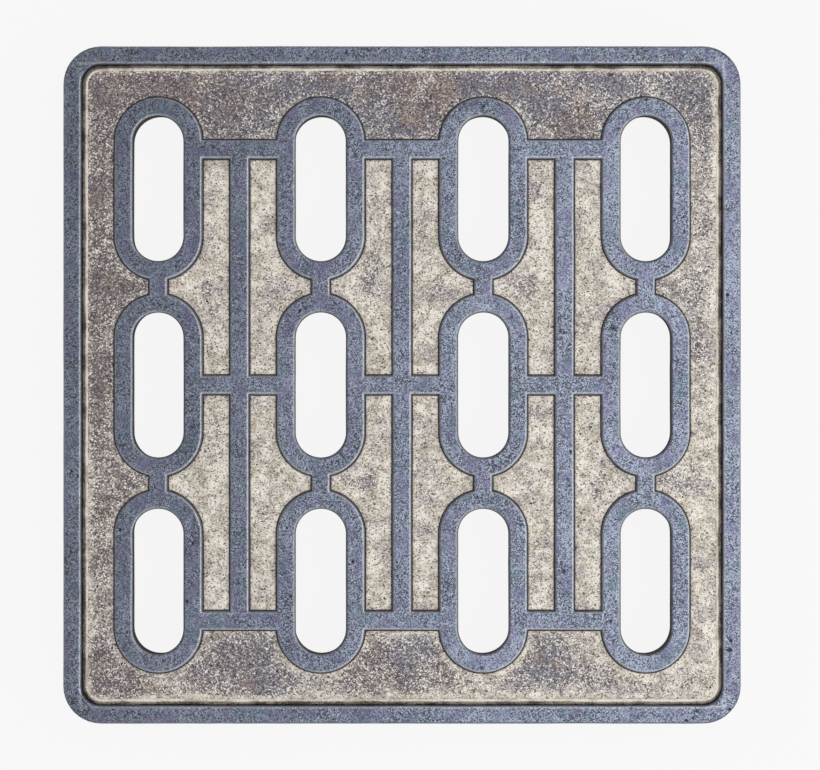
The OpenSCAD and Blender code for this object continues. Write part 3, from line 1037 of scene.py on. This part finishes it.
def make_grit(s, d, c):
    """Loose grains on the field: each is an icosahedron stretched, turned and knocked out of true, and
    sunk partly into the sand."""
    tread = Tread(s)
    rng = np.random.default_rng(61)
    tried = rng.uniform(-COVER_HALF, COVER_HALF, (40 * d.grains, 2))
    growth, inset = tread.growth(tried), inside_square(tried, COVER_HALF, COVER_HALF - s.corner_r)
    off_tread, off_edge = 0.0026, 0.0015
    room = (growth > off_tread) & (inset > off_edge)
    likely = rng.random(len(tried)) < 0.15 + 0.85 * dust_at(tried, tread)
    plan = tried[room & likely][:d.grains]
    n = len(plan)
    golden = (1 + math.sqrt(5)) / 2
    corners = np.array([(a, b * golden, 0) for a in (-1, 1) for b in (-1, 1)])
    corners = np.concatenate([corners, np.roll(corners, 1, axis=1), np.roll(corners, 2, axis=1)])
    corners = corners / np.linalg.norm(corners[0])
    longest_side = 1.1
    near = np.linalg.norm(corners[:, None] - corners[None], axis=2) < longest_side
    faces = [(a, b, e) for a in range(12) for b in range(a + 1, 12) for e in range(b + 1, 12)
             if near[a, b] and near[b, e] and near[a, e]]
    faces = np.array([f if np.linalg.det(corners[list(f)]) > 0 else f[::-1] for f in faces])
    width = d.grain_size / 2 * np.exp(rng.normal(0, 0.42, n))
    width = np.minimum(width, 2.2 * d.grain_size / 2)
    shape = corners[None] * (1 + rng.uniform(-0.22, 0.22, (n, 12, 1)))
    shape = shape * width[:, None, None] * rng.uniform((0.8, 0.8, 0.55), (1.3, 1.3, 0.95), (n, 3))[:, None]
    turn = rng.uniform(0, 2 * math.pi, n)
    cos, sin = np.cos(turn)[:, None], np.sin(turn)[:, None]
    x, y, z = np.moveaxis(shape, -1, 0)
    shape = np.stack([x * cos - y * sin, x * sin + y * cos, z], axis=-1)
    middle = at_height(plan, field_height(plan, tread, s, d) + 0.15 * width)
    shell = Shell()
    numbers = shell.add(shape + middle[:, None])
    shell.faces = numbers[:, faces].reshape(-1, 3).tolist()
    shade = np.clip(rng.normal(0.62, 0.3, n), 0, 1)
    return shell.piece("grit", "cover", "cover_iron", grit_finish(c), ["cover"], shade=np.repeat(shade, 12))


# ---------------------------------------------------------------- the frame

def make_frame_casting(s):
    """The frame's wall, band, keying channel and seat ledge as one closed skin.

    A wall section is carried round a square with round corners, and a second one round the clear
    opening. Between them the ledge's two faces are triangulated, with pockets for the seat pads
    and holes for the anchors."""
    shell = Shell()
    sides = 200
    wall_in = FRAME_HALF - s.band_w
    middle = FRAME_HALF - s.corner_r
    seat_z = ROAD - s.seat_depth
    ledge_z = seat_z - s.ledge_t
    open_half = wall_in - s.ledge_w
    lip_z = ROAD - s.channel_lip
    e = s.edge_round
    outer = rounded([
        (wall_in - 0.0017, seat_z, 0), (wall_in, seat_z, 0.0012), (wall_in, ROAD, e * 0.7),
        *[(wall_in + s.band_w * part, ROAD, 0) for part in (0.16, 0.3, 0.5, 0.7, 0.84)],
        (FRAME_HALF, ROAD, e), (FRAME_HALF, lip_z, e), (FRAME_HALF - s.channel_d, lip_z - 0.001, e),
        (FRAME_HALF - s.channel_d, s.channel_low + 0.001, e), (FRAME_HALF, s.channel_low, e),
        (FRAME_HALF, 0, e), (wall_in, 0, e), (wall_in, ledge_z, 0.003), (wall_in - 0.004, ledge_z, 0)])
    inner = rounded([
        (open_half + 0.004, ledge_z, 0), (open_half, ledge_z, 0.002), (open_half, seat_z, 0.002),
        (open_half + 0.0035, seat_z, 0)])
    open_middle = open_half - s.opening_r
    wall = shell.add(np.stack([at_height(round_square(h, h - middle, sides), z) for h, z in outer]))
    ledge = shell.add(np.stack([at_height(round_square(h, h - open_middle, sides), z) for h, z in inner]))
    shell.strip(wall, outwards=True)
    shell.strip(ledge, outwards=True)

    pocket = rounded([(0.0006, seat_z, 0), (0, seat_z, 0.0004), (0, seat_z - s.pocket_h, 0.0003),
                      (-0.0015, seat_z - s.pocket_h, 0)])
    pockets = []
    for name in SEAT_PADS:
        low, high = (np.array(corner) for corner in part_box(name))
        at, size = (low + high)[:2] / 2, (high - low)[:2] + 2 * s.pocket_play
        flat, lying = (size.max() - size.min()) / 2, size[0] > size[1]
        rows = []
        for g, z in pocket:
            outline = slot_outline(size.min() / 2 + g, flat, 0.002)
            rows.append(at_height((outline[:, ::-1] * (-1, 1) if lying else outline) + at, z))
        numbers = shell.add(np.array(rows))
        shell.strip(numbers, outwards=False)
        shell.cap(numbers[-1], up=True)
        pockets.append(numbers)

    drill = rounded([(0.0012, seat_z, 0), (0, seat_z, 0.0008), (0, ledge_z, 0.0004), (0.0009, ledge_z, 0)])
    anchors = [(x * s.anchor_at, y * s.anchor_at) for x in (-1, 1) for y in (-1, 1)]
    holes = []
    for at in anchors:
        rows = [at_height(arc(at, s.anchor_d / 2 + g, 0, 2 * math.pi, 28), z) for g, z in drill]
        holes.append(shell.add(np.array(rows)))
        shell.strip(holes[-1], outwards=False)

    shell.fill([wall[0], ledge[-1], *[p[0] for p in pockets], *[h[0] for h in holes]], up=True)
    shell.fill([wall[-1], ledge[0], *[h[-1] for h in holes]], up=False)

    points = shell.points()
    reach = np.abs(points[:, :2]).max(axis=1)
    z = points[:, 2]
    inner_edge = np.exp(-((reach - wall_in - 0.0005) / 0.0007) ** 2)
    outer_edge = np.exp(-((reach - FRAME_HALF + 0.0006) / 0.0008) ** 2)
    wear = (0.65 * inner_edge + 0.4 * outer_edge) * (z > ROAD - 0.0014)
    soil = np.where(z > ROAD - 0.002, 0.0, np.where(reach > wall_in + 0.001, 0.5, 0.8))
    moved = 1.2 * casting_wander(points)
    moved[:, 2] = np.maximum(moved[:, 2], -z)
    return shell.piece("frame_casting", "frame", "frame_iron", bpy.data.materials["casting_frame"], ["frame"],
                       moved, wear=wear, soil=soil)


def make_frame_ribs(s):
    """The webs across the keying channel, the gussets under the ledge, and the anchor bosses with the
    webs that tie them into the corners. Each is a straight prism, repeated on the four sides."""
    shell = Shell()
    wall_in = FRAME_HALF - s.band_w
    seat_z = ROAD - s.seat_depth
    ledge_z = seat_z - s.ledge_t
    lip_z = ROAD - s.channel_lip
    sunk = 0.0004
    toe, bite = 0.006, 0.0008

    def prism(outline, along, thick, turn):
        """A flat anticlockwise outline of (outwards, height) points, thickened along the side, then
        turned round Z."""
        outline = np.array(outline)
        rows = []
        for t in (-thick / 2, thick / 2):
            rows.append(np.column_stack([outline[:, 0], np.full(len(outline), along + t), outline[:, 1]]))
        rows = np.array(rows)
        cos, sin = math.cos(turn), math.sin(turn)
        x, y = rows[..., 0] * cos - rows[..., 1] * sin, rows[..., 0] * sin + rows[..., 1] * cos
        numbers = shell.add(np.stack([x, y, rows[..., 2]], axis=-1))
        shell.strip(numbers, outwards=True)
        shell.faces.append(numbers[0].tolist())
        shell.faces.append(numbers[1][::-1].tolist())

    web = [(FRAME_HALF - s.channel_d - bite, s.channel_low - bite), (FRAME_HALF - sunk, s.channel_low - bite),
           (FRAME_HALF - sunk, lip_z + bite), (FRAME_HALF - s.channel_d - bite, lip_z + bite)]
    reach = wall_in - s.ledge_w + 0.002
    gusset = [(wall_in + bite, sunk), (wall_in + bite, ledge_z + bite), (reach, ledge_z + bite),
              (reach, ledge_z - toe), (wall_in - toe, sunk)]
    tie_reach = (wall_in - 0.004) * math.sqrt(2)
    tie_start = s.anchor_at * math.sqrt(2) + s.anchor_d * 0.7
    tie = [(tie_start, sunk), (tie_reach, sunk), (tie_reach, ledge_z + bite), (tie_start, ledge_z + bite)]
    for side in range(4):
        turn = side * math.pi / 2
        for n in (-1.5, -0.5, 0.5, 1.5):
            prism(web, n * s.web_pitch, s.web_t, turn)
        for n in (-1, 0, 1):
            prism(gusset, n * s.web_pitch, s.web_t, turn)
        prism(tie, 0, s.web_t, turn + math.pi / 4)
    for x in (-1, 1):
        for y in (-1, 1):
            at = (x * s.anchor_at, y * s.anchor_at)
            bore, foot = s.anchor_d / 2 + 0.0001, 0.0002
            path = [(bore, ledge_z + bite), (bore, foot),
                    (s.boss_d / 2, foot), (s.boss_d / 2, ledge_z + bite)]
            rows = [at_height(arc(at, r, 0, 2 * math.pi, 32), z) for r, z in path]
            numbers = shell.add(np.array(rows))
            shell.strip(np.concatenate([numbers, numbers[:1]]), outwards=False)
    points = shell.points()
    made = shell.piece("frame_ribs", "frame", "frame_iron", bpy.data.materials["casting_frame"], ["frame"],
                       wear=0 * points[:, 0], soil=0.5 + 0 * points[:, 0])
    bevel = made.modifiers.new("cast edges", "BEVEL")
    bevel.width = s.edge_round * 0.8
    bevel.segments = 2
    bevel.angle_limit = math.radians(40)
    return made


def make_seat_pad(name):
    """One seat pad: a slot-shaped block of rubber with rounded edges, as large as its CAD solid."""
    low, high = (np.array(corner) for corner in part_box(name))
    at, size = (low + high)[:2] / 2, (high - low)[:2]
    radius, flat, lying = size.min() / 2, (size.max() - size.min()) / 2, size[0] > size[1]
    path = rounded([(-0.003, low[2], 0), (0, low[2], 0.0004), (0, high[2], 0.0009), (-0.003, high[2], 0)], 4)
    shell = Shell()
    rows = []
    for g, z in path:
        outline = slot_outline(radius + g, flat, 0.0015)
        rows.append(at_height((outline[:, ::-1] * (-1, 1) if lying else outline) + at, z))
    numbers = shell.add(np.array(rows))
    shell.strip(numbers, outwards=True)
    shell.faces = [face[::-1] for face in shell.faces]
    shell.cap(numbers[0], up=False)
    shell.cap(numbers[-1], up=True)
    return shell.piece(name.replace("seat_pad", "rubber_pad"), "frame", "seat_rubber",
                       bpy.data.materials["seat_rubber"], [name])


# ---------------------------------------------------------------- operators

class COVER_OT_stage(bpy.types.Operator):
    """Makes the floor, the lights and the camera"""
    bl_idname = "cover.stage"
    bl_label = "Floor, lights and camera"

    def execute(self, context):
        scene = context.scene
        s, c = scene.cover_stage, scene.cover_finishes
        mesh = bpy.data.meshes.new("floor")
        corners = [(x * FLOOR_HALF, y * FLOOR_HALF, FLOOR_Z) for x, y in ((-1, -1), (1, -1), (1, 1), (-1, 1))]
        mesh.from_pydata(corners, [], [(0, 1, 2, 3)])
        mesh.materials.append(floor_finish(c, s))
        floor = bpy.data.objects.new("floor", mesh)
        scene.collection.objects.link(floor)

        data = bpy.data.cameras.new("camera")
        data.sensor_width = 36
        data.lens = data.sensor_width * s.camera_h / s.picture_w
        camera = bpy.data.objects.new("camera", data)
        camera.location = (s.camera_x, 0, ROAD + s.camera_h)
        scene.collection.objects.link(camera)
        scene.camera = camera

        self.lamp(scene, "key", s.key_power, s.key_size, KEY_PLACE, KEY_TINT)
        self.lamp(scene, "fill", s.key_power * FILL_POWER, s.key_size * FILL_SIZE, FILL_PLACE, FILL_TINT)
        world = bpy.data.worlds.new("sky")
        world.use_nodes = True
        tree = world.node_tree
        light = tree.nodes["Background"]
        seen = tree.nodes.new("ShaderNodeLightPath").outputs
        white = tree.nodes.new("ShaderNodeBackground")
        white.inputs["Color"].default_value = (*[s.backdrop] * 3, 1)
        light.inputs["Color"].default_value = (*SKY_TINT, 1)
        light.inputs["Strength"].default_value = s.sky
        both = tree.nodes.new("ShaderNodeMixShader")
        tree.links.new(seen["Is Camera Ray"], both.inputs[0])
        tree.links.new(light.outputs[0], both.inputs[1])
        tree.links.new(white.outputs[0], both.inputs[2])
        tree.links.new(both.outputs[0], tree.nodes["World Output"].inputs["Surface"])
        scene.world = world
        scene.view_settings.view_transform = "Standard"
        return {"FINISHED"}

    def lamp(self, scene, name, power, size, place, tint):
        """A square soft light that faces the middle of the road surface."""
        data = bpy.data.lights.new(name, "AREA")
        data.color = tint
        data.energy = power
        data.size = size
        lamp = bpy.data.objects.new(name, data)
        lamp.location = place
        aim = lamp.location.copy()
        aim.z -= ROAD
        lamp.rotation_euler = aim.to_track_quat("Z", "Y").to_euler()
        scene.collection.objects.link(lamp)


class COVER_OT_finishes(bpy.types.Operator):
    """Makes the finishes that several pieces share"""
    bl_idname = "cover.finishes"
    bl_label = "Shared finishes"

    def execute(self, context):
        c = context.scene.cover_finishes
        plain_iron_finish("casting_underside", c)
        plain_iron_finish("casting_frame", c)
        rubber_finish(c)
        return {"FINISHED"}


class COVER_OT_cover_casting(bpy.types.Operator):
    """Makes the cover's casting, with its tread, field, slots and skirt"""
    bl_idname = "cover.cover_casting"
    bl_label = "Cover casting"

    def execute(self, context):
        scene = context.scene
        make_cover_casting(scene.cover_sizes, scene.cover_dirt, scene.cover_finishes)
        return {"FINISHED"}


class COVER_OT_cover_ribs(bpy.types.Operator):
    """Makes the ribs under the cover"""
    bl_idname = "cover.cover_ribs"
    bl_label = "Cover ribs"

    def execute(self, context):
        make_cover_ribs(context.scene.cover_sizes)
        return {"FINISHED"}


class COVER_OT_joint_crust(bpy.types.Operator):
    """Packs soil against the cover's edge"""
    bl_idname = "cover.joint_crust"
    bl_label = "Joint crust"

    def execute(self, context):
        scene = context.scene
        make_joint_crust(scene.cover_sizes, scene.cover_dirt, scene.cover_finishes)
        return {"FINISHED"}


class COVER_OT_grit(bpy.types.Operator):
    """Scatters loose grains over the field"""
    bl_idname = "cover.grit"
    bl_label = "Grit"

    def execute(self, context):
        scene = context.scene
        make_grit(scene.cover_sizes, scene.cover_dirt, scene.cover_finishes)
        return {"FINISHED"}


class COVER_OT_frame_casting(bpy.types.Operator):
    """Makes the frame's wall, band, channel and seat ledge"""
    bl_idname = "cover.frame_casting"
    bl_label = "Frame casting"

    def execute(self, context):
        make_frame_casting(context.scene.cover_frame)
        return {"FINISHED"}


class COVER_OT_frame_ribs(bpy.types.Operator):
    """Makes the frame's webs, gussets and anchor bosses"""
    bl_idname = "cover.frame_ribs"
    bl_label = "Frame ribs"

    def execute(self, context):
        make_frame_ribs(context.scene.cover_frame)
        return {"FINISHED"}


class COVER_OT_seat_pads(bpy.types.Operator):
    """Makes the rubber pads that the cover sits on"""
    bl_idname = "cover.seat_pads"
    bl_label = "Seat pads"

    def execute(self, context):
        for name in SEAT_PADS:
            make_seat_pad(name)
        return {"FINISHED"}


STEPS = (
    COVER_OT_stage, COVER_OT_finishes, COVER_OT_cover_casting, COVER_OT_cover_ribs, COVER_OT_joint_crust,
    COVER_OT_grit, COVER_OT_frame_casting, COVER_OT_frame_ribs, COVER_OT_seat_pads,
)


class COVER_PT_parts(bpy.types.Panel):
    """Lists the pieces in the order in which they are made"""
    bl_idname = "COVER_PT_parts"
    bl_label = "Slotted cover"
    bl_space_type = "VIEW_3D"
    bl_region_type = "UI"
    bl_category = "Cover"

    def draw(self, context):
        for step in STEPS:
            self.layout.operator(step.bl_idname)


SETTINGS = {
    "cover_sizes": CoverSizes, "cover_frame": FrameSizes, "cover_dirt": DirtSizes,
    "cover_finishes": Finishes, "cover_stage": StageSettings,
}


def register():
    for group in (*SETTINGS.values(), *STEPS, COVER_PT_parts):
        bpy.utils.register_class(group)
    for name, group in SETTINGS.items():
        setattr(bpy.types.Scene, name, PointerProperty(type=group))


def unregister():
    for name in SETTINGS:
        delattr(bpy.types.Scene, name)
    for group in (COVER_PT_parts, *reversed(STEPS), *reversed(list(SETTINGS.values()))):
        bpy.utils.unregister_class(group)


def main():
    register()
    for step in STEPS:
        family, name = step.bl_idname.split(".")
        getattr(getattr(bpy.ops, family), name)()


if __name__ == "__main__":
    main()
